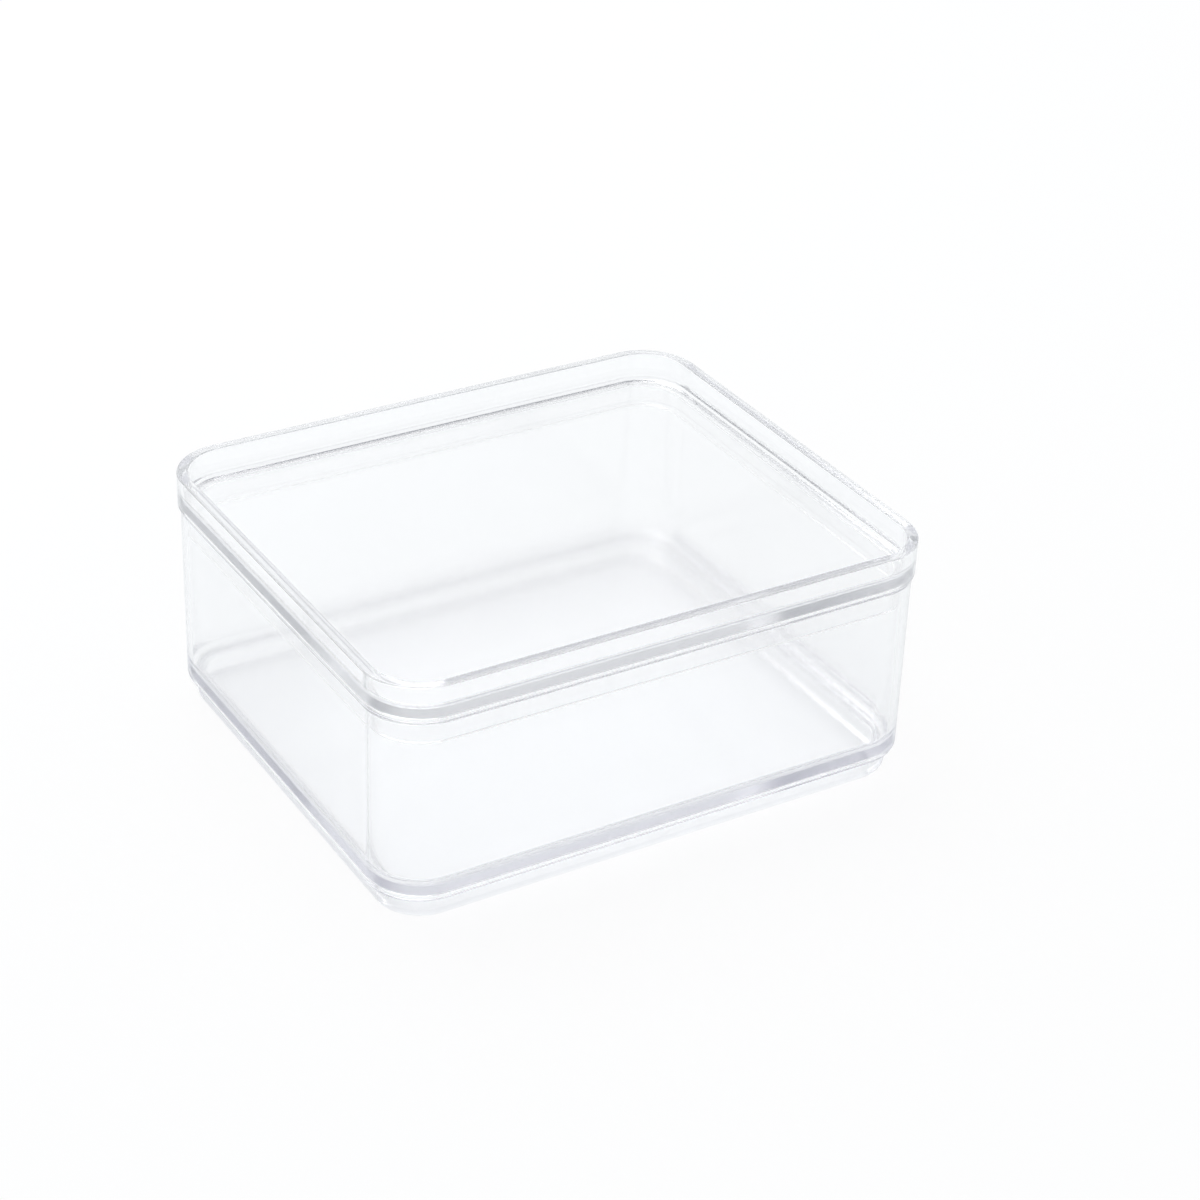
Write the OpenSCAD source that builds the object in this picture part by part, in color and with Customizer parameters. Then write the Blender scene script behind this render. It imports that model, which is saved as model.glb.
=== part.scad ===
// Clear storage box with a lift-off lid. Both pieces are thin injection mouldings.
// The origin is level with the underside of the foot, in the middle of the plan, with +Z up and the long
// side along X.

/* [Overall] */
// Width of the lid, along X
lid_w = 105; // [80:1:200]
// Depth of the lid, along Y
lid_d = 90; // [70:1:180]
// Height of the closed box, from the foot to the top of the rim
total_h = 46; // [32:0.5:120]
// Radius of the lid's upright corners
corner_r = 10.5; // [9:0.5:20]

/* [Lid] */
// Height of the rim, from the lid's underside to its top
rim_h = 7; // [5:0.1:10]
// Thickness of the rim's wall
rim_t = 2; // [1.2:0.1:3]
// Thickness of the flat plate inside the rim
plate_t = 1.8; // [1.2:0.1:3]
// How far the plug lip reaches down into the box
plug_h = 4.5; // [3:0.1:8]
// Thickness of the plug lip
plug_t = 1; // [0.8:0.1:2.5]
// Air between the plug lip and the box wall, on each side
plug_clear = 0.3; // [0.1:0.05:0.6]
// How far the lid stands out past the box wall, on each side
overhang = 0.5; // [0:0.1:1.5]
// Air between the lid's underside and the top of the wall
seat_gap = 0.1; // [0.05:0.05:0.3]

/* [Box] */
// Thickness of the upright wall
wall_t = 1.5; // [1.2:0.1:3]
// Height of the foot, up to the underside of the floor
foot_h = 4.2; // [3:0.1:8]
// How far the foot stands in from the wall's outside
foot_inset = 1.7; // [1.6:0.1:3]
// Thickness of the foot, a ring that is hollow inside
foot_t = 2.4; // [2:0.1:4]
// Thickness of the floor
floor_t = 2.3; // [1.5:0.1:3]

/* [Edges] */
// Radius under the foot's outside, large enough to clear the round corner inside a rim below
foot_edge_r = 1.5; // [1.5:0.1:1.9]
// Radius of the lid's lower outside edge
lid_edge_r = 0.8; // [0.2:0.1:1.2]
// Radius where the wall turns in over the foot
ledge_edge_r = 1.3; // [0.2:0.1:1.4]
// Radius of the rim's and the wall's top edges
top_edge_r = 0.3; // [0.1:0.1:0.6]
// Radius of the plug lip's lower edge
plug_edge_r = 0.1; // [0.1:0.1:0.4]
// Radius of the inside corner along the top of the floor
floor_r = 2.4; // [0.3:0.1:3]
// Radius of the inside corners along the top and the underside of the plate
inside_r = 1.7; // [0.3:0.1:1.7]
// Radius of the inside corner under the floor
under_r = 0.4; // [0.2:0.1:1]

/* [Hidden] */
$fn = 64;

clear_colour = [0.86, 0.90, 0.94, 0.45];
lid_colour = [0.90, 0.92, 0.97, 0.45];

// Levels above the underside of the foot
lid_z = total_h - rim_h;
plate_top_z = lid_z + plate_t;
plug_z = lid_z - plug_h;
box_top_z = lid_z - seat_gap;
floor_top_z = foot_h + floor_t;
foot_root_z = foot_h + floor_t / 2;

// Steps inwards from the lid's outside
wall_in = overhang;
cavity_in = wall_in + wall_t;
foot_in = wall_in + foot_inset;
under_in = foot_in + foot_t;
recess_in = rim_t;
plug_in = cavity_in + plug_clear;
plug_hollow_in = plug_in + plug_t;

// How far a cut runs past the face that it opens
over_cut = 1;

// Half of a block's section, x from 0 to reach, with its outer corners rounded
module half_section(reach, z0, z1, r_low, r_high) {
    translate([0, z0])
        square([reach - r_low, z1 - z0 - r_high]);
    translate([0, z0 + r_low])
        square([reach, z1 - z0 - r_low - r_high]);
    translate([0, z0 + r_low])
        square([reach - r_high, z1 - z0 - r_low]);
    translate([reach - r_low, z0 + r_low])
        circle(r_low);
    translate([reach - r_high, z1 - r_high])
        circle(r_high);
}

// A block of the lid's plan drawn in by inset, with rounded upright corners and rounded edges
module plan_block(inset, z0, z1, r_low, r_high) {
    r = corner_r - inset;
    corner_x = lid_w / 2 - corner_r;
    corner_y = lid_d / 2 - corner_r;
    for (quarter = [0 : 3]) {
        side_x = (quarter == 0 || quarter == 3) ? 1 : -1;
        side_y = (quarter < 2) ? 1 : -1;
        translate([side_x * corner_x, side_y * corner_y, 0])
            rotate([0, 0, 90 * quarter])
                rotate_extrude(angle = 90)
                    half_section(r, z0, z1, r_low, r_high);
    }
    for (side = [0, 180]) {
        rotate([0, 0, side])
            translate([corner_x, 0, 0])
                rotate([90, 0, 0])
                    linear_extrude(2 * corner_y, center = true)
                        half_section(r, z0, z1, r_low, r_high);
        rotate([0, 0, side + 90])
            translate([corner_y, 0, 0])
                rotate([90, 0, 0])
                    linear_extrude(2 * corner_x, center = true)
                        half_section(r, z0, z1, r_low, r_high);
    }
    translate([-corner_x, -corner_y, z0])
        cube([2 * corner_x, 2 * corner_y, z1 - z0]);
}

// The tub: an upright wall and a floor over a lower hollow foot, which nests in the rim of a lid below
module box_body() {
    color(clear_colour)
        difference() {
            union() {
                plan_block(wall_in, foot_h, box_top_z, ledge_edge_r, top_edge_r);
                plan_block(foot_in, 0, foot_root_z, foot_edge_r, top_edge_r);
            }
            plan_block(cavity_in, floor_top_z, box_top_z + over_cut, floor_r, top_edge_r);
            plan_block(under_in, -over_cut, foot_h, top_edge_r, under_r);
        }
}

// The lid: a raised rim round a flat plate, and a plug lip under it that drops inside the wall
module lid() {
    color(lid_colour) {
        difference() {
            plan_block(0, lid_z, total_h, lid_edge_r, top_edge_r);
            plan_block(recess_in, plate_top_z, total_h + over_cut, inside_r, top_edge_r);
        }
        difference() {
            plan_block(plug_in, plug_z, plate_top_z - top_edge_r, plug_edge_r, top_edge_r);
            plan_block(plug_hollow_in, plug_z - over_cut, lid_z, top_edge_r, inside_r);
        }
    }
}

box_body();
lid();
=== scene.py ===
from math import cos, pi, radians, sin

import bpy
from mathutils import Matrix, Vector


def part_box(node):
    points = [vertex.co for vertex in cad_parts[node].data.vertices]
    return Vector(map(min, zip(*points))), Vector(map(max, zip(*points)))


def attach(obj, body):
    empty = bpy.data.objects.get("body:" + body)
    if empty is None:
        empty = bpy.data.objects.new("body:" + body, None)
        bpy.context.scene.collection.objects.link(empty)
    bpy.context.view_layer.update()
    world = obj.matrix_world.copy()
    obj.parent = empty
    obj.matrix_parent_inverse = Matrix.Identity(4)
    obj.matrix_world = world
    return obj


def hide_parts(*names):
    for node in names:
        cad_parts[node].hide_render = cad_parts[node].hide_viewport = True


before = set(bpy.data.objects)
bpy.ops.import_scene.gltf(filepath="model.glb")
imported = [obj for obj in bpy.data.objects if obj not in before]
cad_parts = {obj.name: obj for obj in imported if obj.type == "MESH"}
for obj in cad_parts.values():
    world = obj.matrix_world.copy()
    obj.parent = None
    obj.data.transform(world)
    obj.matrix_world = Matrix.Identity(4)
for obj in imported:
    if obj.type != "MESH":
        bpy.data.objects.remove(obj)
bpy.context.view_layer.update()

# The tub of the box. It is one clear acrylic moulding: an upright wall with round corners and a floor, over
# a lower foot that steps in. The foot is a ring, hollow under the floor, and drops inside the rim of a lid.
mm = 0.001
lid_low, lid_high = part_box("lid")
tub_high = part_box("box_body")[1]
half_long, half_short = lid_high[0], lid_high[1]
corner_r = 10.5 * mm
wall_t = 1.5 * mm
wall_top = tub_high[2]
foot_h = 4.2 * mm
foot_inset = 1.7 * mm
foot_t = 2.4 * mm
floor_t = 2.3 * mm
foot_edge_r = 1.5 * mm
foot_root_r = 0.25 * mm
wall_low_r = 1.3 * mm
top_edge_r = 0.3 * mm
floor_r = 2.4 * mm
under_r = 0.4 * mm
floor_top = foot_h + floor_t
wall_in = lid_high[0] - tub_high[0]
cavity_in = wall_in + wall_t
foot_in = wall_in + foot_inset
under_in = foot_in + foot_t
tub_tint = (0.63, 0.64, 0.79)
tub_haze = 0.13


def turned_edge(centre_in, centre_z, r, start, stop, hollow=False):
    """A quarter round of a section: its inset, its height and the way the skin faces. 0 is out, 90 is up."""
    steps = 6
    face = -1 if hollow else 1
    points = []
    for i in range(steps + 1):
        a = radians(start + (stop - start) * i / steps)
        points.append((centre_in - r * cos(a), centre_z + r * sin(a), face * cos(a), face * sin(a)))
    return points


def corner_ring(inset):
    """The plan's outline drawn in by inset: its points, and the way that each one faces."""
    steps = 20
    r = corner_r - inset
    ring = []
    for quarter, (side_x, side_y) in enumerate(((1, 1), (-1, 1), (-1, -1), (1, -1))):
        for i in range(steps + 1):
            a = pi / 2 * (quarter + i / steps)
            x = side_x * (half_long - corner_r) + r * cos(a)
            y = side_y * (half_short - corner_r) + r * sin(a)
            ring.append((x, y, cos(a), sin(a)))
    return ring


def moulding(name, section):
    """Carries a section round the plan, closes its two ends with flat plates and sets the smooth normals."""
    verts, normals, faces = [], [], []
    for inset, z, face_out, face_up in section:
        for x, y, out_x, out_y in corner_ring(inset):
            verts.append((x, y, z))
            normals.append((out_x * face_out, out_y * face_out, face_up))
    n = len(verts) // len(section)
    for k in range(len(section) - 1):
        for i in range(n):
            j = (i + 1) % n
            faces.append((k * n + i, k * n + j, (k + 1) * n + j, (k + 1) * n + i))
    faces.append(tuple(reversed(range(n))))
    faces.append(tuple(range((len(section) - 1) * n, len(section) * n)))
    mesh = bpy.data.meshes.new(name)
    mesh.from_pydata(verts, [], faces)
    mesh.update()
    for polygon in mesh.polygons:
        polygon.use_smooth = True
    mesh.normals_split_custom_set_from_vertices(normals)
    piece = bpy.data.objects.new(name, mesh)
    bpy.context.collection.objects.link(piece)
    return piece


tub_section = (
    turned_edge(under_in + under_r, foot_h - under_r, under_r, 90, 0, hollow=True)
    + turned_edge(under_in - top_edge_r, top_edge_r, top_edge_r, 180, 270)
    + turned_edge(foot_in + foot_edge_r, foot_edge_r, foot_edge_r, -90, 0)
    + turned_edge(foot_in - foot_root_r, foot_h - foot_root_r, foot_root_r, 180, 90, hollow=True)
    + turned_edge(wall_in + wall_low_r, foot_h + wall_low_r, wall_low_r, -90, 0)
    + turned_edge(wall_in + top_edge_r, wall_top - top_edge_r, top_edge_r, 0, 90)
    + turned_edge(cavity_in - top_edge_r, wall_top - top_edge_r, top_edge_r, 90, 180)
    + turned_edge(cavity_in + floor_r, floor_top + floor_r, floor_r, 0, -90, hollow=True)
)


def two_tones(nodes, links, share, first, second):
    """The first colour where the share is 0, the second one where it is 1."""
    tones = nodes.new("ShaderNodeMix")
    tones.data_type = "RGBA"
    tones.inputs["A"].default_value = (*first, 1.0)
    tones.inputs["B"].default_value = (*second, 1.0)
    links.new(share, tones.inputs["Factor"])
    return tones.outputs["Result"]


def clear_acrylic(name, tint, haze):
    """Clear moulded acrylic: bent light and gloss, faint flow waves and a soft drift of haze."""
    light_bend = 1.57
    gloss = 0.06
    wave_height = 0.04 * mm
    tint_per_metre = 3.5
    mat = bpy.data.materials.new(name)
    mat.use_nodes = True
    nodes, links = mat.node_tree.nodes, mat.node_tree.links
    shader = nodes["Principled BSDF"]
    shader.inputs["Base Color"].default_value = (1.0, 1.0, 1.0, 1.0)
    shader.inputs["IOR"].default_value = light_bend
    shader.inputs["Transmission Weight"].default_value = 1.0
    place = nodes.new("ShaderNodeTexCoord")
    drift = nodes.new("ShaderNodeTexNoise")
    drift.inputs["Scale"].default_value = 45.0
    drift.inputs["Detail"].default_value = 3.0
    links.new(place.outputs["Object"], drift.inputs["Vector"])
    rough = nodes.new("ShaderNodeMapRange")
    rough.inputs["To Min"].default_value = gloss
    rough.inputs["To Max"].default_value = haze
    links.new(drift.outputs["Fac"], rough.inputs["Value"])
    links.new(rough.outputs["Result"], shader.inputs["Roughness"])
    waves = nodes.new("ShaderNodeTexNoise")
    waves.inputs["Scale"].default_value = 60.0
    waves.inputs["Detail"].default_value = 1.0
    links.new(place.outputs["Object"], waves.inputs["Vector"])
    bump = nodes.new("ShaderNodeBump")
    bump.inputs["Strength"].default_value = 0.12
    bump.inputs["Distance"].default_value = wave_height
    links.new(waves.outputs["Fac"], bump.inputs["Height"])
    links.new(bump.outputs["Normal"], shader.inputs["Normal"])
    body = nodes.new("ShaderNodeVolumeAbsorption")
    body.inputs["Color"].default_value = (*tint, 1.0)
    body.inputs["Density"].default_value = tint_per_metre
    out = nodes["Material Output"]
    links.new(body.outputs["Volume"], out.inputs["Volume"])
    clear = nodes.new("ShaderNodeBsdfTransparent")
    edge_on = nodes.new("ShaderNodeFresnel")
    edge_on.inputs["IOR"].default_value = light_bend
    let_through = two_tones(nodes, links, edge_on.outputs["Fac"], (0.99, 0.99, 0.995), (0.45, 0.45, 0.50))
    links.new(let_through, clear.inputs["Color"])
    path = nodes.new("ShaderNodeLightPath")
    mix = nodes.new("ShaderNodeMixShader")
    links.new(path.outputs["Is Shadow Ray"], mix.inputs["Fac"])
    links.new(shader.outputs["BSDF"], mix.inputs[1])
    links.new(clear.outputs["BSDF"], mix.inputs[2])
    links.new(mix.outputs["Shader"], out.inputs["Surface"])
    return mat


tub = moulding("tub", tub_section)
tub.data.materials.append(clear_acrylic("tub_acrylic", tub_tint, tub_haze))
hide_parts("box_body")
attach(tub, "box")

# The lid. It is one clear acrylic moulding: a raised rim round a flat plate, and a plug lip under the plate
# that drops inside the wall and keeps the lid from sliding. It lies loose and lifts straight off.
rim_h = 7.0 * mm
rim_t = 2.0 * mm
plate_t = 1.8 * mm
plug_t = 1.0 * mm
plug_clear = 0.3 * mm
lid_edge_r = 0.8 * mm
rim_edge_r = 0.35 * mm
inside_r = 1.7 * mm
plug_edge_r = 0.1 * mm
plug_root_r = 0.2 * mm
rim_top = lid_high[2]
lid_under = rim_top - rim_h
plate_top = lid_under + plate_t
plug_low = lid_low[2]
plug_in = cavity_in + plug_clear
plug_hollow_in = plug_in + plug_t
lid_tint = (0.43, 0.46, 0.52)
lid_haze = 0.10

lid_section = (
    turned_edge(plug_hollow_in + top_edge_r, lid_under - top_edge_r, top_edge_r, 90, 0, hollow=True)
    + turned_edge(plug_hollow_in - plug_edge_r, plug_low + plug_edge_r, plug_edge_r, 180, 270)
    + turned_edge(plug_in + plug_edge_r, plug_low + plug_edge_r, plug_edge_r, -90, 0)
    + turned_edge(plug_in - plug_root_r, lid_under - plug_root_r, plug_root_r, 180, 90, hollow=True)
    + turned_edge(lid_edge_r, lid_under + lid_edge_r, lid_edge_r, -90, 0)
    + turned_edge(rim_edge_r, rim_top - rim_edge_r, rim_edge_r, 0, 90)
    + turned_edge(rim_t - rim_edge_r, rim_top - rim_edge_r, rim_edge_r, 90, 180)
    + turned_edge(rim_t + inside_r, plate_top + inside_r, inside_r, 0, -90, hollow=True)
)
cover = moulding("cover", lid_section)
cover.data.materials.append(clear_acrylic("cover_acrylic", lid_tint, lid_haze))
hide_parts("lid")
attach(cover, "lid")

# The table top. It is a plain white sheet, wide enough that no edge shows, and it keeps the box's soft
# shadow. Seen through the plastic its glow carries a painted shade, greyer close to the foot, where little
# light comes in.
table_side = 6.0
table_drop = 0.1 * mm
white_share_seen = 0.9
white_share_through_plastic = 0.6


def white_to_camera(nodes, links, colour):
    """White where the camera looks straight at it, and the given colour for all other light."""
    sight = nodes.new("ShaderNodeLightPath")
    white = nodes.new("ShaderNodeMix")
    white.data_type = "RGBA"
    links.new(sight.outputs["Is Camera Ray"], white.inputs["Factor"])
    links.new(colour, white.inputs["A"])
    white.inputs["B"].default_value = (1.0, 1.0, 1.0, 1.0)
    return white.outputs["Result"]


bpy.ops.mesh.primitive_plane_add(size=table_side, location=(0, 0, -table_drop))
table_top = bpy.context.active_object
table_top.name = "table_top"
paper = bpy.data.materials.new("white_table")
paper.use_nodes = True
nodes, links = paper.node_tree.nodes, paper.node_tree.links
paper_skin = nodes["Principled BSDF"]
paper_skin.inputs["Base Color"].default_value = (0.855, 0.875, 0.89, 1.0)
paper_skin.inputs["Roughness"].default_value = 0.9
paper_skin.inputs["Specular IOR Level"].default_value = 0.1
# Painted shade: an occlusion test greys the table's glow within a foot's height of the box, near and under
# its foot.
painted_foot_shade = nodes.new("ShaderNodeAmbientOcclusion")
painted_foot_shade.samples = 8
painted_foot_shade.inputs["Distance"].default_value = foot_h
painted_foot_shade_colour = two_tones(nodes, links, painted_foot_shade.outputs["AO"], (0.64, 0.65, 0.67), (0.985, 0.998, 1.0))
glow = nodes.new("ShaderNodeEmission")
glow.inputs["Strength"].default_value = 1.0
links.new(white_to_camera(nodes, links, painted_foot_shade_colour), glow.inputs["Color"])
seen = nodes.new("ShaderNodeLightPath")
bent = nodes.new("ShaderNodeMath")
bent.operation = "MAXIMUM"
links.new(seen.outputs["Is Glossy Ray"], bent.inputs[0])
links.new(seen.outputs["Is Transmission Ray"], bent.inputs[1])
bent_share = nodes.new("ShaderNodeMath")
bent_share.operation = "MULTIPLY"
bent_share.inputs[1].default_value = white_share_through_plastic
links.new(bent.outputs["Value"], bent_share.inputs[0])
share = nodes.new("ShaderNodeMath")
share.operation = "MULTIPLY_ADD"
share.inputs[1].default_value = white_share_seen
links.new(seen.outputs["Is Camera Ray"], share.inputs[0])
links.new(bent_share.outputs["Value"], share.inputs[2])
paper_mix = nodes.new("ShaderNodeMixShader")
links.new(share.outputs["Value"], paper_mix.inputs["Fac"])
links.new(paper_skin.outputs["BSDF"], paper_mix.inputs[1])
links.new(glow.outputs["Emission"], paper_mix.inputs[2])
links.new(paper_mix.outputs["Shader"], nodes["Material Output"].inputs["Surface"])
table_top.data.materials.append(paper)

# The camera. It looks down at the near corner from the front left, half a metre off, through a long lens,
# and is rolled a little.
azimuth, elevation, roll = radians(-31.95), radians(30.49), radians(2.30)
camera_far = 522.7 * mm
aim = Vector((15.04, 4.30, 19.72)) * mm
back = Vector((sin(azimuth) * cos(elevation), -cos(azimuth) * cos(elevation), sin(elevation)))
level_right = Vector((cos(azimuth), sin(azimuth), 0.0))
level_up = back.cross(level_right)
right = cos(roll) * level_right + sin(roll) * level_up
up = back.cross(right)
camera_data = bpy.data.cameras.new("camera")
camera_data.lens = 86.7
camera_data.sensor_width = 36.0
camera_data.clip_start, camera_data.clip_end = 0.01, 50.0
camera = bpy.data.objects.new("camera", camera_data)
turn = Matrix((right, up, back)).transposed().to_4x4()
camera.matrix_world = Matrix.Translation(aim + camera_far * back) @ turn
bpy.context.collection.objects.link(camera)
bpy.context.scene.camera = camera

# The light. A white tent stands round the table and a large soft box hangs over it. The tent is grey
# overhead, and that grey is what draws the thick edges of the clear plastic.
world = bpy.data.worlds.new("light_tent")
bpy.context.scene.world = world
world.use_nodes = True
nodes, links = world.node_tree.nodes, world.node_tree.links
grey_starts, grey_full = 0.54, 0.84
tent = nodes["Background"]
tent.inputs["Strength"].default_value = 1.0
way = nodes.new("ShaderNodeTexCoord")
parts = nodes.new("ShaderNodeSeparateXYZ")
links.new(way.outputs["Generated"], parts.inputs["Vector"])
height = nodes.new("ShaderNodeValToRGB")
tent_wall, tent_roof = height.color_ramp.elements
tent_wall.position = grey_starts
tent_wall.color = (0.98, 0.99, 1.0, 1.0)
tent_roof.position = grey_full
tent_roof.color = (0.25, 0.26, 0.29, 1.0)
links.new(parts.outputs["Z"], height.inputs["Fac"])
links.new(white_to_camera(nodes, links, height.outputs["Color"]), tent.inputs["Color"])

soft_box_side = 0.9
soft_box = bpy.data.lights.new("soft_box", "AREA")
soft_box.shape = "RECTANGLE"
soft_box.size, soft_box.size_y = soft_box_side, soft_box_side
soft_box.energy = 8.4
soft_box_stand = bpy.data.objects.new("soft_box", soft_box)
soft_box_stand.location = (-0.1, 0.5, 1.0)
bpy.context.collection.objects.link(soft_box_stand)

scene = bpy.context.scene
scene.view_settings.view_transform = "Standard"
scene.cycles.max_bounces = 96
scene.cycles.transmission_bounces = 48
scene.cycles.glossy_bounces = 96
scene.cycles.transparent_max_bounces = 24
